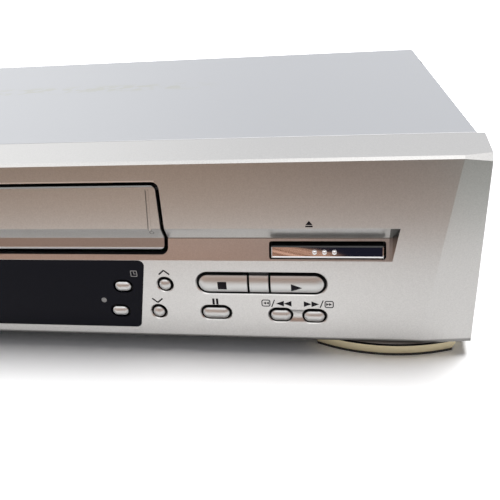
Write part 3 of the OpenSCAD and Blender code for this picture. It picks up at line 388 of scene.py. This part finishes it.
# The flanks in the slot are painted black as shade, and the upper edge as a painted dark reflection.
shaded_flanks_and_top = (below_face(chrome) > -shade_proud).most(bar_high > shade_top)
chrome.set("Base Color", chrome.mix(shaded_flanks_and_top, chrome.mix(haze, dull_chrome, clear_chrome), bare_and_shade_black))
chrome.set("Metallic", 1 - shaded_flanks_and_top)
chrome.set("Roughness", 0.02 + 0.02 * haze + 0.3 * shaded_flanks_and_top)
chrome.bump(((bar_high - lip_low) / (lip_high - lip_low)).most(0.0).least(1.0), lip_depth)
paint_nodes(chrome, "eject_button", "power_button")

# Feet
# The large front feet are champagne plastic discs, whose top under the front moulding is painted black as
# shade.
# The rear ones are black, and all four stand on rubber pads.
champagne_dark, champagne_light = (0.90, 0.77, 0.50, 1), (0.98, 0.85, 0.56, 1)
rim_top, satin_size, satin_relief = 6.0 * mm, 0.4 * mm, 0.003 * mm
champagne = Finish("champagne")
satin = champagne.grain(satin_size)
# The rim's top, in the narrow gap under the moulding, is painted black as shade.
painted_gap_shade = champagne.axes()[2] > rim_top
lacquer = champagne.mix(satin, champagne_dark, champagne_light)
champagne.set("Base Color", champagne.mix(painted_gap_shade, lacquer, bare_and_shade_black))
champagne.set("Roughness", 0.3 + 0.08 * satin + 0.2 * painted_gap_shade)
champagne.bump(satin, satin_relief)
rubber = fine_finish("rubber", (0.03, 0.03, 0.03), roughness=0.7, metallic=0.0, grain_size=0.5 * mm,
                     spread=0.3, relief=0.03 * mm)
black_plastic = fine_finish("black_plastic", (0.025, 0.025, 0.027), roughness=0.5, metallic=0.0,
                            grain_size=0.4 * mm, spread=0.25, relief=0.02 * mm)
paint_nodes(champagne, "front_feet")
paint_nodes(rubber, "foot_pads", "idler_wheel", "pinch_roller", "drive_belt")
paint_nodes(black_plastic, "rear_feet", "tact_switches", "board_parts", "scart_sockets", "mains_inlet",
            "front_av_jacks", "supply_reel_table", "takeup_reel_table")

# Cassette deck and boards
# The deck has stamped steel plates, turned aluminium drums, ground shafts and natural acetal gears.
# The boards, the transformer's tape and the screws have plain finishes of their own.
inner_finishes = {
    "deck_steel": ((0.52, 0.52, 0.50), 0.36, 0.9, 0.8, 0.08, 0.01),
    "ground_steel": ((0.6, 0.6, 0.6), 0.22, 1.0, 0.3, 0.06, 0.004),
    "turned_aluminium": ((0.72, 0.72, 0.73), 0.24, 1.0, 0.25, 0.05, 0.004),
    "acetal": ((0.80, 0.78, 0.70), 0.45, 0.0, 0.8, 0.03, 0.01),
    "brass": ((0.68, 0.52, 0.26), 0.3, 0.9, 0.4, 0.05, 0.004),
    "green_board": ((0.03, 0.11, 0.05), 0.35, 0.0, 1.5, 0.2, 0.02),
    "paper_board": ((0.36, 0.22, 0.10), 0.6, 0.0, 1.2, 0.15, 0.02),
    "winding_tape": ((0.5, 0.38, 0.06), 0.4, 0.0, 1.0, 0.1, 0.02),
    "dark_zinc": ((0.22, 0.22, 0.22), 0.35, 0.9, 0.4, 0.1, 0.006),
}
made_in = {
    "deck_steel": ["deck_plate", "carriage_frame", "carriage_slider", "cassette_holder"],
    "ground_steel": ["capstan", "pinch_arm", "tension_arm", "erase_head", "audio_head", "loading_motor"],
    "turned_aluminium": ["lower_drum", "upper_drum"],
    "acetal": ["carriage_gear", "idler_arm", "mode_gear", "clutch_pulley"],
    "brass": ["supply_loading_arm", "takeup_loading_arm", "rear_jacks"],
    "green_board": ["front_board", "main_board"],
    "paper_board": ["power_board"],
    "winding_tape": ["transformer"],
    "dark_zinc": ["case_screws", "capstan_motor"],
}
for name, (colour, roughness, metallic, grain_size, spread, relief) in inner_finishes.items():
    finish = fine_finish(name, colour, roughness, metallic, grain_size * mm, spread, relief * mm)
    paint_nodes(finish, *made_in[name])

# Printed marks
# Symbols silk-screened in dark ink on the silver and in grey on the window, in millimetres.
# Each is a film 0.03 mm thick on its surface, and those on a cap move with it.
ink_depth = 0.03
dark_ink = fine_finish("dark_ink", (0.012, 0.010, 0.014), roughness=0.5, metallic=0.0, grain_size=0.3 * mm,
                       spread=0.2, relief=0.002 * mm, Specular_IOR_Level=0.1)
grey_ink = fine_finish("grey_ink", (0.36, 0.35, 0.34), roughness=0.5, metallic=0.0, grain_size=0.3 * mm,
                       spread=0.1, relief=0.002 * mm)
upright = Matrix.Rotation(math.pi / 2, 4, "X")


def lay(shape, made, x, z, wide, tall, turn=0.0):
    stretch = Matrix.Diagonal((wide, 1, tall, 1))
    move = Matrix.Translation((x, 0, z)) @ Matrix.Rotation(turn, 4, "Y") @ stretch
    bmesh.ops.transform(shape, matrix=move @ upright, verts=made["verts"])


def add_bar(shape, x, z, wide, tall, turn=0.0):
    square = bmesh.ops.create_grid(shape, x_segments=1, y_segments=1, size=0.5)
    lay(shape, square, x, z, wide, tall, turn)


def add_dot(shape, x, z, across):
    disc = bmesh.ops.create_circle(shape, cap_ends=True, segments=32, radius=0.5)
    lay(shape, disc, x, z, across, across)


def add_arrow(shape, base, tip, wide):
    triangle = bmesh.ops.create_circle(shape, cap_ends=True, segments=3, radius=0.5)
    triangle_wide, triangle_tall = math.sqrt(0.75), 0.75
    run_x, run_z = tip[0] - base[0], tip[1] - base[1]
    stretch = (wide / triangle_wide, math.hypot(run_x, run_z) / triangle_tall)
    lay(shape, triangle, base[0] + run_x / 3, base[1] + run_z / 3, *stretch, math.atan2(run_x, run_z))


def add_frame(shape, x, z, wide, tall, line, corner):
    older = set(shape.faces)
    square = bmesh.ops.create_grid(shape, x_segments=1, y_segments=1, size=0.5)
    lay(shape, square, x, z, wide, tall)
    bmesh.ops.bevel(shape, geom=square["verts"], offset=corner, offset_type="OFFSET", segments=4,
                    profile=0.5, affect="VERTICES", material=-1)
    plate = [face for face in shape.faces if face not in older]
    bmesh.ops.inset_individual(shape, faces=plate, thickness=line, use_even_offset=True)
    bmesh.ops.delete(shape, geom=plate, context="FACES")


def place(shape, name, finish, body):
    bmesh.ops.scale(shape, vec=(mm, mm, mm), verts=shape.verts)
    bmesh.ops.recalc_face_normals(shape, faces=shape.faces)
    mesh = bpy.data.meshes.new(name)
    shape.to_mesh(mesh)
    shape.free()
    piece = bpy.data.objects.new(name, mesh)
    bpy.context.scene.collection.objects.link(piece)
    paint(piece, finish)
    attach(piece, body)


def wrap(shape, middle, radius):
    """Bend a flat mark round a cap whose face is part of a cylinder along X."""
    cuts = 9
    low = min(v.co.z for v in shape.verts)
    high = max(v.co.z for v in shape.verts)
    for i in range(1, cuts):
        level = low + (high - low) * i / cuts
        bmesh.ops.bisect_plane(shape, geom=shape.verts[:] + shape.edges[:] + shape.faces[:],
                               plane_co=(0, 0, level), plane_no=(0, 0, 1))
    for v in shape.verts:
        v.co.y += radius - math.sqrt(radius ** 2 - (v.co.z - middle) ** 2)


def press_mark(shape, name, surface_y, ink, body, dome=None):
    made = bmesh.ops.extrude_face_region(shape, geom=list(shape.faces))
    moved = [v for v in made["geom"] if isinstance(v, bmesh.types.BMVert)]
    bmesh.ops.translate(shape, vec=(0, -ink_depth, 0), verts=moved)
    if dome:
        wrap(shape, *dome)
    bmesh.ops.translate(shape, vec=(0, surface_y / mm, 0), verts=shape.verts)
    place(shape, name, ink, body)


cap_proud, group_z, dome_r = 1.2 * mm, 34.3, 7.9
cap_face_y, group_dome = face_y - cap_proud, (group_z, dome_r)
stop_x, stop_z, stop_wide, stop_tall = 109.15, 33.7, 3.8, 3.7
shape = bmesh.new()
add_bar(shape, stop_x, stop_z, stop_wide, stop_tall)
press_mark(shape, "stop_mark", cap_face_y, dark_ink, "stop", group_dome)

play_left, play_right, play_z, play_tall = 138.05, 142.7, 33.05, 3.7
shape = bmesh.new()
add_arrow(shape, (play_left, play_z), (play_right, play_z), play_tall)
press_mark(shape, "play_mark", cap_face_y, dark_ink, "play", group_dome)

shape = bmesh.new()
pause_xs, pause_z, pause_wide, pause_tall = (104.55, 106.15), 25.3, 1.0, 3.0
for x in pause_xs:
    add_bar(shape, x, pause_z, pause_wide, pause_tall)

wind_tall, rewind_z, forward_z = 2.7, 24.8, 24.75
for tip, base in ((131.38, 134.72), (134.72, 137.91)):
    add_arrow(shape, (base, rewind_z), (tip, rewind_z), wind_tall)
for base, tip in ((143.07, 146.27), (146.27, 149.46)):
    add_arrow(shape, (base, forward_z), (tip, forward_z), wind_tall)
slash_xs, slash_z, slash_wide, slash_tall, slash_lean = (130.14, 150.5), 24.85, 0.45, 3.8, 0.35
for x in slash_xs:
    add_bar(shape, x, slash_z, slash_wide, slash_tall, slash_lean)
cassette_wide, cassette_tall, cassette_line, cassette_corner = 3.8, 3.4, 0.42, 0.9
small_apart, small_back, small_front, small_tall = 0.6, 0.65, 0.55, 1.35
for x, z, way in ((127.1, 24.95, -1), (153.6, 24.75, 1)):
    add_frame(shape, x, z, cassette_wide, cassette_tall, cassette_line, cassette_corner)
    for side in (-1, 1):
        middle = x + way * side * small_apart
        add_arrow(shape, (middle - way * small_back, z), (middle + way * small_front, z), small_tall)

chevron_half, chevron_long, chevron_line, chevron_slope = 1.15, 3.1, 0.66, 0.72
for x, z, way in ((84.3, 39.2, 1), (79.8, 25.4, -1)):
    for side in (-1, 1):
        add_bar(shape, x + side * chevron_half, z, chevron_long, chevron_line, side * way * chevron_slope)

eject_x, eject_bar_z, eject_bar_wide, eject_bar_tall = 145.85, 60.3, 2.9, 0.62
eject_base_z, eject_tip_z, eject_wide = 60.91, 62.75, 2.8
add_bar(shape, eject_x, eject_bar_z, eject_bar_wide, eject_bar_tall)
add_arrow(shape, (eject_x, eject_base_z), (eject_x, eject_tip_z), eject_wide)
press_mark(shape, "panel_marks", face_y, dark_ink, "chassis")

shape = bmesh.new()
dot_x, dot_z, dot_across = 55.4, 25.2, 2.4
add_dot(shape, dot_x, dot_z, dot_across)
clock_x, clock_z, clock_size, clock_line, clock_corner = 71.0, 38.5, 3.0, 0.36, 0.5
hand_line, upright_hand, level_hand, hand_shift, level_drop = 0.34, 1.2, 0.9, 0.4, 0.15
add_frame(shape, clock_x, clock_z, clock_size, clock_size, clock_line, clock_corner)
add_bar(shape, clock_x, clock_z + hand_shift, hand_line, upright_hand)
add_bar(shape, clock_x + hand_shift, clock_z - level_drop, level_hand, hand_line)
press_mark(shape, "window_marks", face_y, grey_ink, "chassis")

# Socket fittings
# Coloured plastic collars and gilt sleeves of the phono sockets, and the pins and blades inside the
# aerial, video and mains sockets. They are pressed in and stay with the chassis, in millimetres.
front_jacks = {"yellow": (-172, 24), "white": (-157, 24), "red": (-142, 24)}
rear_jacks = {"white": (168, 42), "red": (168, 26)}
collar_colours = {"yellow": (0.75, 0.48, 0.03), "white": (0.72, 0.72, 0.70), "red": (0.55, 0.03, 0.03)}
collar_plastics = {}
for name, colour in collar_colours.items():
    collar_plastics[name] = fine_finish(name + "_plastic", colour, roughness=0.35, metallic=0.0,
                                        grain_size=0.5 * mm, spread=0.04, relief=0.004 * mm)
gilt = fine_finish("gilt", (0.83, 0.62, 0.30), roughness=0.22, metallic=1.0, grain_size=0.5 * mm,
                   spread=0.05, relief=0.003 * mm)
nickel = fine_finish("nickel", (0.66, 0.64, 0.60), roughness=0.25, metallic=1.0, grain_size=0.5 * mm,
                     spread=0.05, relief=0.003 * mm)


def turned(shape, profile, x, z):
    outline = [shape.verts.new((x + radius, y, z)) for radius, y in profile]
    rim = [shape.edges.new(pair) for pair in zip(outline, outline[1:] + outline[:1])]
    bmesh.ops.spin(shape, geom=outline + rim, cent=(x, 0, z), axis=(0, 1, 0), angle=math.tau, steps=32,
                   use_merge=True)
    bmesh.ops.remove_doubles(shape, verts=shape.verts, dist=0.001)


def collar(shape, inner, outer, near, far, x, z, soft=0.15):
    way = math.copysign(soft, far - near)
    turned(shape, [(inner, near), (inner, far - way), (inner + soft, far), (outer - soft, far),
                   (outer, far - way), (outer, near)], x, z)


front_end, rear_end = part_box("front_av_jacks")[0][1] / mm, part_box("rear_jacks")[1][1] / mm
sleeve_r, front_sleeve_outer, front_sleeve_long = 1.7, 2.7, 0.9
front_collar_inner, front_collar_outer, front_collar_long = 2.75, 3.95, 0.35
rear_collar_outer, rear_collar_long, fine_edge = 3.1, 0.25, 0.1
shape = bmesh.new()
for name, (x, z) in front_jacks.items():
    ring = bmesh.new()
    collar(ring, front_collar_inner, front_collar_outer, front_end, front_end - front_collar_long, x, z)
    place(ring, "front_collar_" + name, collar_plastics[name], "chassis")
    collar(shape, sleeve_r, front_sleeve_outer, front_end, front_end - front_sleeve_long, x, z)
place(shape, "front_sleeves", gilt, "chassis")
for name, (x, z) in rear_jacks.items():
    ring = bmesh.new()
    collar(ring, sleeve_r, rear_collar_outer, rear_end, rear_end + rear_collar_long, x, z, fine_edge)
    place(ring, "rear_collar_" + name, collar_plastics[name], "chassis")

aerial_x, aerial_zs = 192, (30, 48)
aerial_end, rear_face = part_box("tuner_can")[1][1] / mm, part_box("rear_panel")[1][1] / mm
pin_bore, pin_r, pin_start, pin_sunk = 0.65, 1.2, 1.4, 1.2
seat_r, seat_start, seat_end = 4.15, 0.1, 1.5
shape, seats = bmesh.new(), bmesh.new()
for z in aerial_zs:
    collar(shape, pin_bore, pin_r, rear_face + pin_start, aerial_end - pin_sunk, aerial_x, z, fine_edge)
    collar(seats, pin_r, seat_r, rear_face + seat_start, rear_face + seat_end, aerial_x, z)
place(shape, "aerial_pins", gilt, "chassis")
place(seats, "aerial_seats", collar_plastics["white"], "chassis")

video_x, video_zs, well_y = 128.0, (24, 46), 117.5
blades, blade_pitch, blade_row, blade_stagger = 10, 3.8, 2.5, 0.6
blade_wide, blade_long, blade_thick, blade_edge = 1.5, 8.5, 0.6, 0.12
shape = bmesh.new()
for z in video_zs:
    for row in (-1, 1):
        for i in range(blades):
            blade = bmesh.ops.create_cube(shape, size=1)["verts"]
            x = video_x + (i - (blades - 1) / 2) * blade_pitch + row * blade_stagger
            bmesh.ops.scale(shape, vec=(blade_wide, blade_long, blade_thick), verts=blade)
            bmesh.ops.translate(shape, vec=(x, well_y + blade_long / 2, z + row * blade_row), verts=blade)
bmesh.ops.bevel(shape, geom=shape.edges[:], offset=blade_edge, segments=1, profile=0.5, affect="EDGES",
                material=-1)
place(shape, "video_blades", nickel, "chassis")

inlet_x, inlet_z, pin_apart = -172, 34, 4.3
inlet_pin = [(0, 0), (1.2, 0), (1.2, 9.2), (0.8, 9.9), (0, 10.1)]
shape = bmesh.new()
for side in (-1, 1):
    turned(shape, [(radius, well_y + y) for radius, y in inlet_pin], inlet_x + side * pin_apart, inlet_z)
place(shape, "inlet_pins", nickel, "chassis")

# Room
# A plain pale table under one soft white lamp. The silver mirrors a painted reflection of the table,
# darker and warm far out, and the chrome a streaky brown wall with a dark doorway and shelf. The camera
# sees white.
room = bpy.data.worlds.new("room")
room.use_nodes = True
bpy.context.scene.world = room
sky = Bench(room.node_tree)
background = room.node_tree.nodes["Background"]
direction = sky.node("ShaderNodeTexCoord", {}, {}, "Generated")
toward_x, toward_y, toward_z = sky.split(direction)
wall_slant = 0.14
slanted = toward_z + wall_slant * toward_x

dark_streak, light_streak, plaster, hollow = (
    (0.16, 0.07, 0.04, 1), (0.84, 0.50, 0.36, 1), (0.50, 0.41, 0.36, 1), (0.012, 0.012, 0.022, 1))
streak_count, streak_drift = 260, 9
streak_inputs = {"W": slanted * streak_count + toward_x * streak_drift, "Scale": 1.0}
streaks = sky.node("ShaderNodeTexNoise", {"noise_dimensions": "1D"}, streak_inputs)
brown_wall = sky.mix(streaks.ramp(0.35, 0.62), dark_streak, light_streak)
door_left, door_right, door_middle, door_half = -0.03, 0.32, 0.30, 0.12
doorway_sides = (toward_x - door_left).ramp(0.0, 0.05) * (door_right - toward_x).ramp(0.0, 0.06)
doorway = doorway_sides * (door_half - (toward_z - door_middle).size()).ramp(0, 0.02)
shelf_low, shelf_high, shelf_left, shelf_right, shelf_soft = 0.2942, 0.335, -0.15, 0.05, 0.002
shelf_edges = (slanted - shelf_low).ramp(0, shelf_soft) * (shelf_high - slanted).ramp(0, shelf_soft)
shelf = shelf_edges * (toward_x - shelf_left).ramp(0, 0.03) * (toward_x < shelf_right)
upper_wall = sky.mix(toward_z.ramp(0.34, 0.44), brown_wall, plaster)
wall = sky.mix(doorway.most(shelf), upper_wall, hollow)

dim_sky, bright_sky, glare = (0.82, 0.83, 0.86, 1), (1.48, 1.49, 1.50, 1), (2.6, 2.6, 2.6, 1)
higher = toward_z.ramp(0.2, 0.55)
to_the_left = (-toward_x).ramp(0.05, 0.6)
pale = sky.mix(higher * 0.5 + to_the_left * 0.5, dim_sky, bright_sky)
lamp_glare = (-toward_y).ramp(0.22, 0.4) * toward_z.ramp(0.7, 0.8) * toward_x.ramp(-0.25, 0.1)
above = sky.mix(lamp_glare, pale, glare)

soft_fill, paper_white = (0.22, 0.22, 0.23, 1), (0.97, 0.973, 0.98, 1)
in_front = (-toward_y).ramp(0.15, 0.55)
low_down = (-toward_z).ramp(-0.6, -0.42)
mirrored = sky.mix(in_front * low_down, above, wall)
unseen = sky.mix(sky.ray("Is Glossy Ray"), soft_fill, mirrored)
sky.feed(background.inputs["Color"], sky.mix(sky.ray("Is Camera Ray"), unseen, paper_white))
background.inputs["Strength"].default_value = 1.0

floor_reach = 8
floor_mesh = bpy.data.meshes.new("floor")
shape = bmesh.new()
bmesh.ops.create_grid(shape, x_segments=1, y_segments=1, size=floor_reach)
shape.to_mesh(floor_mesh)
shape.free()
floor = bpy.data.objects.new("floor", floor_mesh)
bpy.context.scene.collection.objects.link(floor)
table = Finish("table_top", Roughness=0.8, Specular_IOR_Level=0.0, Emission_Strength=1.0)
along, back, _ = table.axes()
forward = -back
half_wide, half_deep = cad_box[1][0], cad_box[1][1]
glossy, by_camera = table.ray("Is Glossy Ray"), table.ray("Is Camera Ray")

# Only glossy rays see these colours, as a painted reflection: the table shaded towards the case's right
# end, darker and warm far in front, cool past its right end, and glowing faintly in front of the case.
near_left, near_right = (0.49, 0.365, 0.285, 1), (0.39, 0.30, 0.25, 1)
far_left, far_right = (0.29, 0.205, 0.15, 1), (0.145, 0.112, 0.096, 1)
cool_near, cool_far = (0.42, 0.45, 0.43, 1), (0.22, 0.23, 0.22, 1)
far_side, farther = forward.ramp(0.225, 0.275), forward.ramp(0.30, 0.42)
to_the_right, beside = along.ramp(0.0, 0.22), along.ramp(0.235, 0.27)
warm = table.mix(farther, table.mix(to_the_right, near_left, near_right),
                 table.mix(to_the_right, far_left, far_right))
beyond = table.mix(beside, warm, table.mix(farther, cool_near, cool_far))

plain_top, shaded_top, bright_top = (0.9, 0.9, 0.9, 1), (0.79, 0.79, 0.79, 1), (1.15, 1.15, 1.15, 1)
close_by = table.mix(glossy * along.ramp(0.13, 0.21), plain_top, shaded_top)
tint = table.mix(glossy * far_side, close_by, beyond)
table.set("Base Color", table.mix(by_camera, tint, bright_top))

glow_white, black = (0.92, 0.925, 0.935, 1), (0, 0, 0, 1)
clear_of_case = (along.size() - half_wide).most(0.0) + (back.size() - half_deep).most(0.0)
open_table = clear_of_case.ramp(0.03, 0.22)
lit_share, lit_from, lit_full = 0.22, 0.1365, 0.147
lit_before = glossy * lit_share * forward.ramp(lit_from, lit_full)
mirror_glow = table.mix(lit_before, black, tint)
table.set("Emission Color", table.mix(by_camera * open_table, mirror_glow, glow_white))
paint(floor, table)

lamp_stand, lamp_aim, lamp_size, lamp_watts = Vector((0.5, 0.12, 1.5)), Vector((0.1, 0, 0)), 0.5, 22
lamp_data = bpy.data.lights.new("ceiling_light", "AREA")
lamp_data.shape = "SQUARE"
lamp_data.size = lamp_size
lamp_data.energy = lamp_watts
lamp = bpy.data.objects.new("ceiling_light", lamp_data)
bpy.context.scene.collection.objects.link(lamp)
lamp.location = lamp_stand
lamp.rotation_euler = (lamp_aim - lamp_stand).to_track_quat("-Z", "Y").to_euler()
lamp.visible_glossy = False
